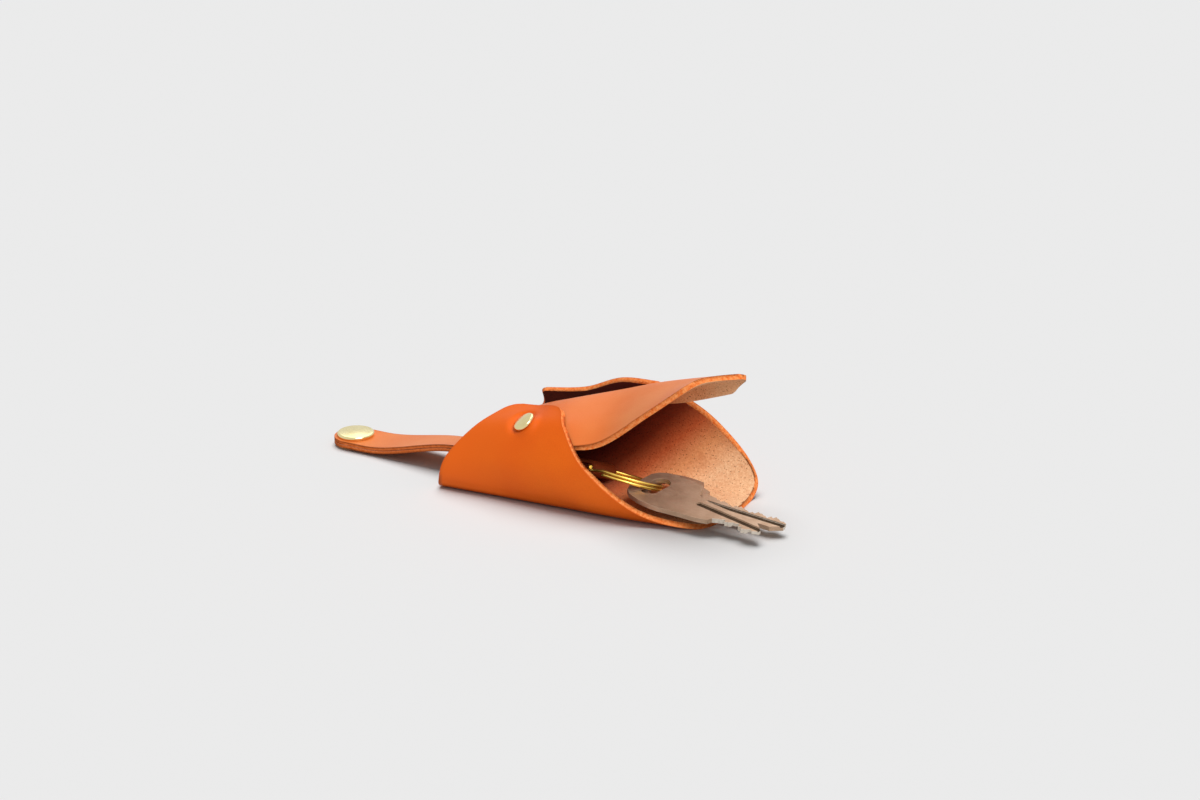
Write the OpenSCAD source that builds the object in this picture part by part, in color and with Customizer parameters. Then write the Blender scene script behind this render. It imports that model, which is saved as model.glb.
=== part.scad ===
// Leather key case: a bell-shaped pouch of two riveted pieces, a doubled pull strap
// closed by a press stud, and a split ring that carries two keys.
// Millimetres, +Z up, +X from the strap to the open mouth.
// The origin is under the middle of the whole object, on the surface that it lies on.

/* [Pouch] */
// Length of the lower pouch piece along the surface it lies on
pouch_l = 116; // [100:1:130]
// Width of the pouch across its mouth
pouch_w = 50; // [44:1:56]
// Height of the lower piece at its tall rear edge
pouch_h = 44; // [40:1:50]
// Thickness of the pouch leather
leather_t = 2.1; // [1.5:0.1:2.3]
// Gap between the lower piece and the flap tucked into it
tuck_gap = 0.5; // [0.35:0.05:0.6]
// Height of the raised end of the top flap
flap_h = 57; // [52:1:62]
// Width of the top flap behind the wings
flap_w = 37; // [34:1:40]

/* [Rivets] */
// Diameter of a rivet cap
rivet_d = 9; // [7:0.5:10]
// Height of a rivet cap above the leather
rivet_h = 1.3; // [1:0.1:1.6]
// Outer diameter of a rivet post
rivet_post_d = 3; // [2.6:0.1:3.6]
// Diameter of the pin that is pressed into the post
rivet_pin_d = 1.8; // [1.5:0.1:2]

/* [Strap] */
// Width of the pull strap
strap_w = 17.5; // [15:0.5:19]
// Thickness of the strap leather
strap_t = 1.25; // [1:0.05:1.5]
// Distance from the narrow end of the pouch to the middle of the press stud
strap_out = 53; // [46:1:60]
// Distance from the narrow end of the pouch to the ring
strap_in = 57.5; // [54:0.5:60]
// Height of the middle of the strap where it leaves the pouch
exit_z = 9; // [8:0.5:10.5]
// Angle between the strap and the pouch, seen from above
strap_veer = 5.5; // [3:0.5:6]

/* [Press stud] */
// Diameter of the cap and of the base that lies on the surface
snap_d = 15; // [12.5:0.5:16]
// Height of the cap above the strap
snap_cap_h = 1.9; // [1.5:0.1:2.3]
// Thickness of the base plate under the strap
snap_base_h = 0.9; // [0.7:0.1:1.2]
// Diameter of the round stud that clicks into the socket
stud_d = 4; // [3.5:0.1:4.5]

/* [Split ring] */
// Outer diameter of the split ring
ring_d = 30; // [28:0.5:32]
// Diameter of the ring's wire
wire_d = 1.2; // [1:0.1:1.4]
// Sideways tilt of the ring in degrees
ring_tilt = 24; // [22:1:26]
// Angle by which the ring dips towards the keys, in degrees
ring_dip = 5; // [3:1:6]

/* [Keys] */
// Length of the front key from its slot to its tip
front_key_reach = 50; // [47:1:52]
// Length of the rear key from its slot to its tip
rear_key_reach = 54; // [50:1:56]
// Width of a key's bow
key_bow_w = 25.5; // [24:0.5:27]
// Length of a key's bow
key_bow_l = 23; // [21:0.5:25]
// Width of a key's blade
key_blade_w = 8.6; // [8:0.2:9.4]
// Thickness of a key
key_t = 2; // [1.8:0.1:2.2]
// Length of the slot in a key's bow, across the key
key_slot_l = 14; // [12.5:0.5:14.5]
// Width of the slot in a key's bow, along the key
key_slot_w = 7.4; // [7:0.2:8]

/* [Hidden] */
$fn = 48;
// Overrun of every cut past the face that it opens
cut = 0.5;
// Running gap between parts that slide or turn on each other
play = 0.15;
// Step used to measure a surface's slope
slope_step = 0.01;

// Rows run from the narrow end to the mouth. Points run from the front wing's top edge, under
// the floor, to the rear wing's top edge, as shares of length, width and height.
shell_share = [
    [[0.205, -0.06, 0.745], [0.107, -0.26, 0.57], [0.025, -0.39, 0.31], [0.003, -0.43, 0.095],
        [0, -0.36, 0], [0, 0, 0], [0, 0.33, 0], [0.003, 0.42, 0.12], [0.05, 0.38, 0.34],
        [0.238, 0.27, 0.6], [0.252, 0.23, 0.8]],
    [[0.3, -0.08, 0.77], [0.298, -0.31, 0.665], [0.31, -0.465, 0.37], [0.39, -0.48, 0.105],
        [0.465, -0.38, 0], [0.49, 0, 0], [0.5, 0.33, 0], [0.49, 0.46, 0.13], [0.46, 0.47, 0.4],
        [0.4, 0.37, 0.66], [0.4, 0.3, 0.835]],
    [[0.357, -0.13, 0.81], [0.375, -0.33, 0.69], [0.42, -0.487, 0.4], [0.56, -0.507, 0.105],
        [0.7, -0.385, 0], [0.74, 0, 0], [0.75, 0.33, 0], [0.74, 0.47, 0.13], [0.69, 0.49, 0.39],
        [0.59, 0.4, 0.73], [0.54, 0.29, 0.98]],
    [[0.405, -0.18, 0.825], [0.448, -0.35, 0.7], [0.55, -0.5, 0.43], [0.74, -0.513, 0.115],
        [0.93, -0.375, 0], [0.99, 0, 0], [1, 0.3, 0], [0.995, 0.48, 0.13],
        [0.93, 0.54, 0.36], [0.83, 0.42, 0.7], [0.69, 0.26, 1.01]]];
shell_steps = [18, 44];

// Places on the lower piece: share along it, then the point number counted from the front
front_rivet_at = [0.32, 0.88];
rear_rivet_at = [0.16, 9];

function along(list, i) =
    let (last = len(list) - 1)
    i < 0 ? 2 * list[0] - list[1] : i > last ? 2 * list[last] - list[last - 1] : list[i];
// A smooth curve through the points of a list, where t counts points
function through(list, t) =
    let (i = max(0, min(floor(t), len(list) - 2)), f = t - i,
        a = along(list, i - 1), b = list[i], c = list[i + 1], d = along(list, i + 2))
    b + ((c - a) * f + (2 * a - 5 * b + 4 * c - d) * f * f
        + (3 * b - a - 3 * c + d) * f * f * f) / 2;
function net_point(net, a, b) = through([for (row = net) through(row, b)], a * (len(net) - 1));
function unit(v) = v / norm(v);
function net_normal(net, a, b) =
    let (h = slope_step, top = len(net[0]) - 1)
    unit(cross(net_point(net, a + h, b) - net_point(net, a - h, b),
        net_point(net, a, min(b + h, top)) - net_point(net, a, max(b - h, 0))));
function scaled(v, s) = [for (i = [0:2]) v[i] * s[i]];

shell_net = [for (row = shell_share) [for (p = row) scaled(p, [pouch_l, pouch_w, pouch_h])]];
function shell_out(a, b) = let (p = net_point(shell_net, a, b)) [p[0], p[1], max(p[2], 0)];
function shell_normal(a, b) = net_normal(shell_net, a, b);
// A point on the lower piece's inside face, or deeper by a given depth
function tucked(a, b, deep = 0) = shell_out(a, b) + shell_normal(a, b) * (leather_t + deep);

// Ends and crown of the flap's free rows, as shares of pouch length, flap width and flap height:
// front edge, crown, rear edge
flap_narrow_share = [[-0.004, -0.4, 0.185], [0.147, 0, 0.42], [0.02, 0.36, 0.175]];
flap_free_share = [
    [[0.582, -0.473, 0.503], [0.553, 0.162, 0.71], [0.585, 0.425, 0.56]],
    [[0.731, -0.43, 0.738], [0.721, 0.135, 0.83], [0.785, 0.345, 0.675]]];
// The flap's raised end, point by point from its front edge to its rear edge
flap_end_share = [[0.862, -0.32, 0.95], [0.89, -0.22, 0.975], [0.925, -0.1, 0.98],
    [0.96, 0.05, 0.97], [0.985, 0.17, 0.955], [0.99, 0.28, 0.912], [0.95, 0.35, 0.8]];
// How round the flap's free rows are in front of their crown: 0 is straight, 1 a full arch
front_arch_share = 0.3;
// Crown of the flap where the wings hold it
flap_held_share = [[0.3, 0, 0.565], [0.397, 0, 0.635]];
// How far the flap stands clear of the rear wing past its rivet
rear_clear = 2.2;
// Rise of the arch above a straight line from crown to rear shoulder
brow_rise = 2;
flap_steps = [26, 24];

function flap_place(v) = scaled(v, [pouch_l, flap_w, flap_h]);
// Half of an arch from an edge point up to the crown, without the crown
function half_arch(edge, crown, bow = 1) = [for (q = [0:2]) let (t = q / 3, w = q * 30)
    [edge[0] + (crown[0] - edge[0]) * t,
        crown[1] + (edge[1] - crown[1]) * ((1 - bow) * (1 - t) + bow * cos(w)),
        edge[2] + (crown[2] - edge[2]) * ((1 - bow) * t + bow * sin(w))]];
function reversed(list) = [for (i = [len(list) - 1:-1:0]) list[i]];
function arch_row(e, bow = 1) =
    concat(half_arch(e[0], e[1], bow), [e[1]], reversed(half_arch(e[2], e[1])));
// Points of the front wing, counted from its top edge, that the held rows lie against
held_points = [[1.7, 1, 0.35], [1.45, 0.9, 0.35]];
// Places on the rear wing that the held rows' rear edges and the second row's shoulder lie against
rear_edge_at = [[0.2, 8.2], [0.4, 8.2]];
rear_shoulder_at = [0.36, 9];
// Share along the lower piece of the second held row
held_last_share = 0.9;
function tucked_at(at, deep) = tucked(at[0], at[1], deep);
// A row held by the wings: front edge, shoulder and brow lie against the front wing
function held_row(i, a, crown, shoulder, edge) =
    concat([for (b = held_points[i]) tucked(a, b, tuck_gap)], [crown],
        [(crown + shoulder) / 2 + [0, 0, brow_rise], shoulder, edge]);
flap_net = concat(
    [arch_row([for (p = flap_narrow_share) flap_place(p)])],
    [held_row(0, front_rivet_at[0], flap_place(flap_held_share[0]),
        tucked_at(rear_rivet_at, tuck_gap), tucked_at(rear_edge_at[0], 3 * tuck_gap))],
    [held_row(1, held_last_share, flap_place(flap_held_share[1]),
        tucked_at(rear_shoulder_at, rear_clear), tucked_at(rear_edge_at[1], rear_clear))],
    [for (row = flap_free_share) arch_row([for (p = row) flap_place(p)], front_arch_share)],
    [[for (p = flap_end_share) flap_place(p)]]);
// Radius of the leather's cut corners, on the front side and on the rear side
front_corner_r = 3.2;
rear_corner_r = 2.2;

// Depth that a rivet's caps sink into the leather
rivet_seat = 0.5;
// Thickness of leather that a rivet holds
rivet_grip = 2 * leather_t + tuck_gap - 2 * rivet_seat;
rivet_base_h = 1.1;
dome_rim_share = 0.5;
// Gap round a pin that is pressed into its bore
press_gap = 0.05;

// Gap between the strap's two layers
layer_gap = 0.3;
// Where the strap's middle line passes the narrow end
strap_y = 3;
// Height of the gap between the layers at the press stud
snap_z = snap_base_h + strap_t + layer_gap / 2;
strap_rise = 44;
tail_split = -18;
tail_gap = 0.3;
strap_steps = 26;
tail_steps = 12;
loop_steps = 8;
tip_steps = 6;
tip_turn = 80;
// Radius of the ring's middle line, and where its middle lies
ring_r = (ring_d - wire_d) / 2;
ring_x = strap_in + ring_r;
// Gap between the ring's two turns, and distance between their middles
turn_gap = 0.15;
ring_pitch = wire_d + turn_gap;
ring_z = leather_t + play + ring_r * sin(ring_tilt) + (ring_pitch + wire_d) / 2;
// Height of the ring where the strap holds it
loop_z = ring_z + ring_r * sin(ring_dip);
// Half of the space inside the strap's loop
loop_half = (ring_pitch + wire_d) / 2 + 4 * play;
// The loop's bend starts where the ring crosses the edges of the strap
loop_end = ring_x - sqrt(ring_r * ring_r - strap_w * strap_w / 4);
loop_open = strap_in - wire_d - 2 * loop_half;
// Length over which the strap's layers part towards the loop
loop_flare = 8;

function ease(t) = let (c = max(0, min(1, t))) c * c * (3 - 2 * c);
// Height of the strap's middle, and its twist, at a distance from the narrow end
function strap_mid(x) = x < 0
    ? snap_z + (exit_z - snap_z) * ease((x + strap_rise) / strap_rise)
    : exit_z + (loop_z - exit_z) * ease(x / loop_open);
function strap_twist(x) = ring_tilt * ease((x + strap_rise) / (loop_open + strap_rise));
// Half of the gap between the layers
function layer_half(x) = layer_gap / 2
    + (loop_half - layer_gap / 2) * ease((x - loop_open + loop_flare) / (loop_half + loop_flare));
function strap_half_width(x) =
    let (past = -strap_out - x, r = strap_w / 2) past <= 0 ? r : sqrt(max(r * r - past * past, 0));
// The two edge points of the strap at a place along it, on its inside face or a depth outwards
function strap_rib(p, deep) =
    let (x = p[0], w = strap_twist(x), bend = max(0, x - loop_end),
        out = bend > 0 ? [bend, p[1]] / loop_half : [0, sign(p[1])],
        q = [x, p[1]] + out * deep)
    [for (side = [-1, 1]) let (y = side * strap_half_width(x))
        [q[0], y * cos(w) + q[1] * sin(w), strap_mid(x) - y * sin(w) + q[1] * cos(w)]];

// Press stud
socket_d = 8.6;
barrel_d = 6.2;
barrel_h = 0.8;
stud_flange_d = 8.6;
stud_flange_h = 0.5;
stud_h = 1.6;
stud_round = 0.6;
stud_play = 0.4;
post_d = 2.4;
snap_rim_share = 0.5;
// Share of the stud's height that the post reaches into
post_share = 0.33;

// The ring's wire: one turn below, a step up beside its own end, and one turn above
ring_sides = 6;
ring_rings = 48;
ring_step = 36;
ring_start = -100;
function ring_level(w) = ring_pitch * (ease((w - 360 + ring_step) / ring_step) - 0.5);
ring_path = [for (i = [0:ring_rings])
    let (w = (720 - ring_step) * i / ring_rings)
    [ring_r * cos(ring_start + w), ring_r * sin(ring_start + w), ring_level(w)]];

// Keys: where they cross the ring, where their shoulders end, and how they lie
front_key_turn = -11;
rear_key_turn = 14;
front_key_stop = 31;
rear_key_stop = 17;
front_key_yaw = -17.5;
rear_key_yaw = -10;
front_key_pitch = 5;
rear_key_pitch = 3.3;
key_roll = 4;
// How far a key is drawn outwards before its slot meets the ring
key_shift = 0.9;
key_bow_back = 7.5;
key_stop_w = 14;
bow_round_share = 1.12;
tip_share = 0.12;
groove_w = 1.8;
groove_deep = 0.5;
bitting_share = [0.2, 0.36, 0.26, 0.4, 0.22];
bitting_space = 3.4;
bitting_flat = 1;

centre_y_share = 0.009;
// The middle of the whole object, seen from above: halfway between the strap's tip and the
// rear key's tip, and between the keys' side and the rear wing's
rear_tip_x = (ring_x + ring_r * cos(rear_key_turn)) * cos(strap_veer)
    + ring_r * sin(rear_key_turn) * sin(strap_veer) + (rear_key_reach + key_shift) * cos(rear_key_yaw);
centre_x = (rear_tip_x - (strap_out + strap_w / 2) * cos(strap_veer)) / 2;
centre_y = centre_y_share * pouch_w;

// Skin of leather between a grid of outer points and the matching grid of inner points
module sheet(outer, inner) {
    rows = len(outer);
    cols = len(outer[0]);
    half = rows * cols;
    function at(i, j) = i * cols + j;
    polyhedron(
        points = concat([for (r = outer) for (p = r) p], [for (r = inner) for (p = r) p]),
        faces = concat(
            [for (i = [0:rows - 2]) for (j = [0:cols - 2]) each
                [[at(i, j), at(i + 1, j), at(i + 1, j + 1)], [at(i, j), at(i + 1, j + 1), at(i, j + 1)]]],
            [for (i = [0:rows - 2]) for (j = [0:cols - 2]) each
                [[half + at(i, j), half + at(i + 1, j + 1), half + at(i + 1, j)],
                [half + at(i, j), half + at(i, j + 1), half + at(i + 1, j + 1)]]],
            [for (j = [0:cols - 2]) each
                [[at(0, j), at(0, j + 1), half + at(0, j + 1)],
                [at(0, j), half + at(0, j + 1), half + at(0, j)]]],
            [for (j = [0:cols - 2]) let (i = rows - 1) each
                [[at(i, j), half + at(i, j + 1), at(i, j + 1)],
                [at(i, j), half + at(i, j), half + at(i, j + 1)]]],
            [for (i = [0:rows - 2]) each
                [[at(i, 0), half + at(i + 1, 0), at(i + 1, 0)],
                [at(i, 0), half + at(i, 0), half + at(i + 1, 0)]]],
            [for (i = [0:rows - 2]) let (j = cols - 1) each
                [[at(i, j), at(i + 1, j), half + at(i + 1, j)],
                [at(i, j), half + at(i + 1, j), half + at(i, j)]]]));
}

// Share of an edge that a rounded corner takes away at a given distance from the other edge
function corner_cut(d, reach) = d >= reach ? 0 : reach == 0 ? 0 : 1 - sqrt(1 - pow(1 - d / reach, 2));
// A place along a sheet, moved in from its two ends where its corners are rounded
function rounded(net, a, b) =
    let (top = len(net[0]) - 1, d = min(b, top - b), side = b < top / 2 ? 0 : top,
        run = norm(net_point(net, 1, side) - net_point(net, 0, side)),
        step = norm(net_point(net, 0.5, side) - net_point(net, 0.5, abs(side - 1))),
        r = side == 0 ? front_corner_r : rear_corner_r,
        inset = r / run * corner_cut(d, r / step))
    inset + a * (1 - 2 * inset);

module on_object() {
    translate([-centre_x, -centre_y, 0]) children();
}

module pouch_shell() {
    n = shell_steps;
    top = len(shell_net[0]) - 1;
    places = [for (i = [0:n[0]]) [for (j = [0:n[1]])
        let (b = j * top / n[1]) [rounded(shell_net, i / n[0], b), b]]];
    color("chocolate") on_object() difference() {
        sheet([for (r = places) [for (p = r) shell_out(p[0], p[1])]],
            [for (r = places) [for (p = r) tucked(p[0], p[1])]]);
        for (at = [front_rivet_at, rear_rivet_at]) at_rivet(at) rivet_room();
    }
}

module top_flap() {
    n = flap_steps;
    top = len(flap_net[0]) - 1;
    places = [for (i = [0:n[0]]) [for (j = [0:n[1]])
        let (b = j * top / n[1]) [rounded(flap_net, i / n[0], b), b]]];
    color("sandybrown") on_object() difference() {
        sheet([for (r = places) [for (p = r)
                net_point(flap_net, p[0], p[1]) - net_normal(flap_net, p[0], p[1]) * leather_t]],
            [for (r = places) [for (p = r) net_point(flap_net, p[0], p[1])]]);
        for (at = [front_rivet_at, rear_rivet_at]) at_rivet(at) rivet_room();
    }
}

// Turns +Z outwards, square to the leather at a rivet
module at_rivet(at) {
    n = -shell_normal(at[0], at[1]);
    translate(shell_out(at[0], at[1])) rotate([0, acos(n[2]), atan2(n[1], n[0])]) children();
}

// Space that a rivet takes up in the two layers of leather
module rivet_room() {
    translate([0, 0, -rivet_seat]) cylinder(d = rivet_d + 2 * play, h = rivet_h + 2 * leather_t);
    translate([0, 0, -rivet_grip - rivet_seat - 2 * leather_t])
        cylinder(d = rivet_d + 2 * play, h = 2 * leather_t);
    translate([0, 0, -rivet_grip - 2 * rivet_seat])
        cylinder(d = rivet_post_d + 2 * play, h = rivet_grip + 2 * rivet_seat);
}

// Shallow dome with a rounded rim, its flat face at zero height
module dome(d, h) {
    r = d / 2;
    rim = h * dome_rim_share;
    ball = (r * r + (h - rim) * (h - rim)) / (2 * (h - rim));
    rotate_extrude() intersection() {
        union() {
            square([r - rim / 2, h]);
            translate([r - rim / 2, rim / 2]) circle(d = rim);
        }
        translate([0, h - ball]) circle(r = ball, $fn = 180);
        square([r, h]);
    }
}

module rivet_cap(at) {
    color("khaki") on_object() at_rivet(at) {
        translate([0, 0, -rivet_seat]) dome(rivet_d, rivet_h + rivet_seat);
        translate([0, 0, -rivet_seat - rivet_grip + play]) cylinder(d = rivet_pin_d, h = rivet_grip);
    }
}

module rivet_post(at) {
    color("goldenrod") on_object() at_rivet(at) translate([0, 0, -rivet_seat - rivet_grip]) difference() {
        union() {
            rotate([180, 0, 0]) dome(rivet_d, rivet_base_h);
            cylinder(d = rivet_post_d, h = rivet_grip - play);
        }
        cylinder(d = rivet_pin_d + 2 * press_gap, h = rivet_grip);
    }
}

module front_rivet_cap() { rivet_cap(front_rivet_at); }
module front_rivet_post() { rivet_post(front_rivet_at); }
module rear_rivet_cap() { rivet_cap(rear_rivet_at); }
module rear_rivet_post() { rivet_post(rear_rivet_at); }

// The strap's own frame: its middle line runs along X from the press stud to the ring
module on_strap() {
    on_object() translate([0, strap_y, 0]) rotate([0, 0, -strap_veer]) children();
}

module strap() {
    upper = [for (i = [0:strap_steps])
        let (x = tail_split + tail_gap / 2 + (loop_end - tail_split) * i / strap_steps) [x, layer_half(x)]];
    bend = [for (i = [1:loop_steps - 1])
        let (w = 180 * i / loop_steps) [loop_end + loop_half * sin(w), loop_half * cos(w)]];
    lower = [for (i = [0:strap_steps])
        let (x = loop_end - (loop_end + strap_out) * i / strap_steps) [x, -layer_half(x)]];
    tip = [for (i = [1:tip_steps])
        let (x = -strap_out - strap_w / 2 * sin(tip_turn * i / tip_steps)) [x, -layer_half(x)]];
    run = concat(upper, bend, lower, tip);
    color("sandybrown") on_strap() difference() {
        sheet([for (p = run) strap_rib(p, 0)], [for (p = run) strap_rib(p, strap_t)]);
        at_snap() {
            translate([0, 0, -layer_gap / 2 - stud_flange_h])
                cylinder(d = stud_flange_d + 2 * play, h = strap_t);
            translate([0, 0, -layer_gap / 2 - strap_t - cut])
                cylinder(d = post_d + 2 * play, h = strap_t + cut);
        }
    }
}

module strap_tail() {
    tip = [for (i = [tip_steps:-1:1])
        let (x = -strap_out - strap_w / 2 * sin(tip_turn * i / tip_steps)) [x, layer_half(x)]];
    run = concat(tip, [for (i = [0:tail_steps])
        let (x = -strap_out + (tail_split - tail_gap / 2 + strap_out) * i / tail_steps) [x, layer_half(x)]]);
    color("sandybrown") on_strap() difference() {
        sheet([for (p = run) strap_rib(p, 0)], [for (p = run) strap_rib(p, strap_t)]);
        at_snap() translate([0, 0, -cut])
            cylinder(d = socket_d + 2 * play, h = layer_gap / 2 + strap_t + 2 * cut);
    }
}

// The middle of the press stud, between the two layers of the strap
module at_snap() {
    translate([-strap_out, 0, snap_z]) children();
}

module snap_cap() {
    rim = snap_cap_h * snap_rim_share;
    color("khaki") on_strap() at_snap() translate([0, 0, layer_gap / 2 + strap_t + press_gap]) difference() {
        union() {
            rotate_extrude() {
                square([snap_d / 2 - rim / 2, snap_cap_h]);
                translate([snap_d / 2 - rim / 2, snap_cap_h - rim / 2]) circle(d = rim);
                square([snap_d / 2, snap_cap_h - rim / 2]);
            }
            translate([0, 0, -barrel_h]) cylinder(d = barrel_d, h = barrel_h);
        }
        translate([0, 0, -barrel_h - cut]) cylinder(d = stud_d + 2 * stud_play, h = barrel_h + cut);
    }
}

module snap_socket() {
    lip = strap_t - barrel_h - play;
    color("goldenrod") on_strap() at_snap() translate([0, 0, layer_gap / 2]) difference() {
        cylinder(d = socket_d, h = strap_t);
        translate([0, 0, -cut]) cylinder(d = stud_d + 2 * stud_play, h = strap_t + 2 * cut);
        translate([0, 0, lip]) cylinder(d = barrel_d + 2 * press_gap, h = strap_t);
    }
}

module snap_stud() {
    head = stud_d / 2 - stud_round;
    color("goldenrod") on_strap() at_snap() translate([0, 0, -layer_gap / 2 - stud_flange_h]) difference() {
        union() {
            cylinder(d = stud_flange_d, h = stud_flange_h);
            rotate_extrude() {
                square([head, stud_h]);
                square([stud_d / 2, stud_h - stud_round]);
                translate([head, stud_h - stud_round]) circle(r = stud_round);
            }
        }
        translate([0, 0, -cut]) cylinder(d = post_d + 2 * press_gap, h = stud_h - stud_round + cut);
    }
}

module snap_post() {
    color("khaki") on_strap() at_snap() translate([0, 0, -layer_gap / 2 - strap_t]) {
        rotate([180, 0, 0]) base_plate();
        cylinder(d = post_d, h = strap_t + stud_h * post_share - play);
    }
}

// Flat base plate with a rolled rim, its upper face at zero height
module base_plate() {
    rotate_extrude() {
        square([snap_d / 2 - snap_base_h / 2, snap_base_h]);
        translate([snap_d / 2 - snap_base_h / 2, snap_base_h / 2]) circle(d = snap_base_h);
    }
}

// Round wire swept along a list of points around the ring's axis
module wire(path, d, sides) {
    n = len(path);
    rings = [for (i = [0:n - 1])
        let (ahead = unit(path[min(i + 1, n - 1)] - path[max(i - 1, 0)]),
            side = unit(cross(ahead, [0, 0, 1])), up = cross(side, ahead))
        [for (k = [0:sides - 1]) let (w = 360 * (k + 0.5) / sides)
            path[i] + (side * cos(w) + up * sin(w)) * d / 2]];
    polyhedron(
        points = [for (r = rings) for (p = r) p],
        faces = concat(
            [[for (k = [sides - 1:-1:0]) k]],
            [for (i = [0:n - 2]) for (k = [0:sides - 1]) let (m = (k + 1) % sides) each
                [[i * sides + k, i * sides + m, (i + 1) * sides + m],
                [i * sides + k, (i + 1) * sides + m, (i + 1) * sides + k]]],
            [[for (k = [0:sides - 1]) (n - 1) * sides + k]]));
}

module split_ring() {
    color("gold") on_strap() at_ring() wire(ring_path, wire_d, ring_sides);
}

module at_ring() {
    translate([ring_x, 0, ring_z]) rotate([-ring_tilt, 0, 0]) rotate([0, ring_dip, 0]) children();
}

// Key with its slot at the origin, pointing along +X, with its cuts on the side of the given sign
module key(reach, stop, side) {
    neck = key_bow_l - key_bow_back;
    slot_r = key_slot_w / 2;
    groove_x = neck + key_blade_w;
    shoulder = [[0, 0], [neck / 2, side * key_bow_w / 2], [stop, side * key_stop_w / 2], [stop, 0]];
    color("darkkhaki") difference() {
        translate([0, 0, -key_t / 2]) linear_extrude(key_t) union() {
            intersection() {
                translate([key_bow_l / 2 - key_bow_back, 0]) circle(d = key_bow_w * bow_round_share);
                translate([-key_bow_back, -key_bow_w / 2]) square([key_bow_l, key_bow_w]);
            }
            polygon(side > 0 ? reversed(shoulder) : shoulder);
            polygon([[0, -key_blade_w / 2], [reach - key_blade_w / 2, -key_blade_w / 2],
                [reach, -key_blade_w * tip_share], [reach, key_blade_w * tip_share],
                [reach - key_blade_w / 2, key_blade_w / 2], [0, key_blade_w / 2]]);
        }
        for (end = [-1, 1])
            translate([0, end * (key_slot_l / 2 - slot_r), -key_t]) cylinder(r = slot_r, h = 2 * key_t);
        translate([-slot_r, -key_slot_l / 2 + slot_r, -key_t])
            cube([key_slot_w, key_slot_l - key_slot_w, 2 * key_t]);
        translate([groove_x, -side * groove_w, key_t / 2 - groove_deep]) groove(reach);
        translate([groove_x, 0, -key_t / 2 - groove_deep]) groove(reach);
        for (i = [0:len(bitting_share) - 1])
            translate([stop + bitting_space * (i + 1), side * key_blade_w / 2, 0])
                rotate([0, 0, side * 90]) bitting_cut(bitting_share[i] * key_blade_w);
    }
}

// Groove along a face of the blade
module groove(l) {
    cube([l, groove_w, 2 * groove_deep]);
}

// One V cut of the given depth, open at its wide end
module bitting_cut(deep) {
    translate([0, 0, -key_t]) linear_extrude(2 * key_t)
        polygon([[-deep, -bitting_flat / 2], [-deep, bitting_flat / 2],
            [cut, bitting_flat / 2 + deep + cut], [cut, -bitting_flat / 2 - deep - cut]]);
}

// A place on the ring's middle line, turned so that +X points the way the key does
module on_ring(turn, yaw, pitch) {
    on_strap() at_ring() rotate([0, 0, turn]) translate([ring_r, 0, 0]) rotate([0, 0, -turn])
        rotate([0, -ring_dip, 0]) rotate([ring_tilt, 0, 0]) rotate([0, 0, strap_veer + yaw])
        rotate([0, pitch, 0]) rotate([key_roll, 0, 0]) translate([key_shift, 0, 0]) children();
}

module key_front() {
    on_ring(front_key_turn, front_key_yaw, front_key_pitch) key(front_key_reach, front_key_stop, -1);
}

module key_rear() {
    on_ring(rear_key_turn, rear_key_yaw, rear_key_pitch) key(rear_key_reach, rear_key_stop, 1);
}

pouch_shell();
top_flap();
front_rivet_cap();
front_rivet_post();
rear_rivet_cap();
rear_rivet_post();
strap();
strap_tail();
snap_cap();
snap_socket();
snap_stud();
snap_post();
split_ring();
key_front();
key_rear();
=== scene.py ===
# %% [markdown]
# A leather key case, dressed for its portrait. The imported model gives the fixed frame:
# every piece below is made where that model says, in metres, with its object at the origin.
# Leather is cut from sheets that bend along nets of points, metal is spun and extruded, and
# each finish is a procedural material that is named for what the real one is. Some colours
# also hold painted shade, light or sheen, and this is said where they are made.

# %% Load the frame
import math

import bmesh
import bpy
import numpy as np
from mathutils import Matrix, Vector, kdtree, noise


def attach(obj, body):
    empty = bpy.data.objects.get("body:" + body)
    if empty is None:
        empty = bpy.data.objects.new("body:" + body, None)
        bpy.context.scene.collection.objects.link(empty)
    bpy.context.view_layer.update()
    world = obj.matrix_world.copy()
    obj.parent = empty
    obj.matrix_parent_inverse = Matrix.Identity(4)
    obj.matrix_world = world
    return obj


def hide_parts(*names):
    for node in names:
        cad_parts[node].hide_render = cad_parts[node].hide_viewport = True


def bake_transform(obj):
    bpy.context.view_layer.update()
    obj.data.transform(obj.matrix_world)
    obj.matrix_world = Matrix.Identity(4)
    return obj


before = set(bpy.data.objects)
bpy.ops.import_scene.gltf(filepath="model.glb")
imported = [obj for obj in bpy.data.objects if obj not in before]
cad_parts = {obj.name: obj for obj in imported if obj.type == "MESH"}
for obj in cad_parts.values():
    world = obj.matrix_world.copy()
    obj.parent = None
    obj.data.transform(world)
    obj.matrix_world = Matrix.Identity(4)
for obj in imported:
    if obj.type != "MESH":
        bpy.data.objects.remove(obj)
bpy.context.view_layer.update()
MM = 0.001

# %% [markdown]
# The camera stands about a metre away, 20 degrees above the table and 24 degrees to the
# right of the case's front, with a long lens. A short lens nearer by would swell the mouth.
# The case is small in a wide pale frame, so the lens looks at a point behind and left of it.

# %% Camera
lens = bpy.data.cameras.new("camera")
lens.lens = 77.55
lens.sensor_width = 36
lens.clip_start = 0.01
camera = bpy.data.objects.new("camera", lens)
bpy.context.scene.collection.objects.link(camera)
camera.location = (0.3978, -0.8487, 0.3762)
aim = Vector((-0.02243, 0.0951, 0)) - camera.location
camera.rotation_euler = aim.to_track_quat("-Z", "Y").to_euler()
bpy.context.scene.camera = camera
print("camera is", round(aim.length, 3), "m from what it looks at")

# %% [markdown]
# The real sizes come next, in millimetres, as a leather worker would write them on the
# pattern. They are the same as in the solid model, so that each piece stays on its solid.

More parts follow.
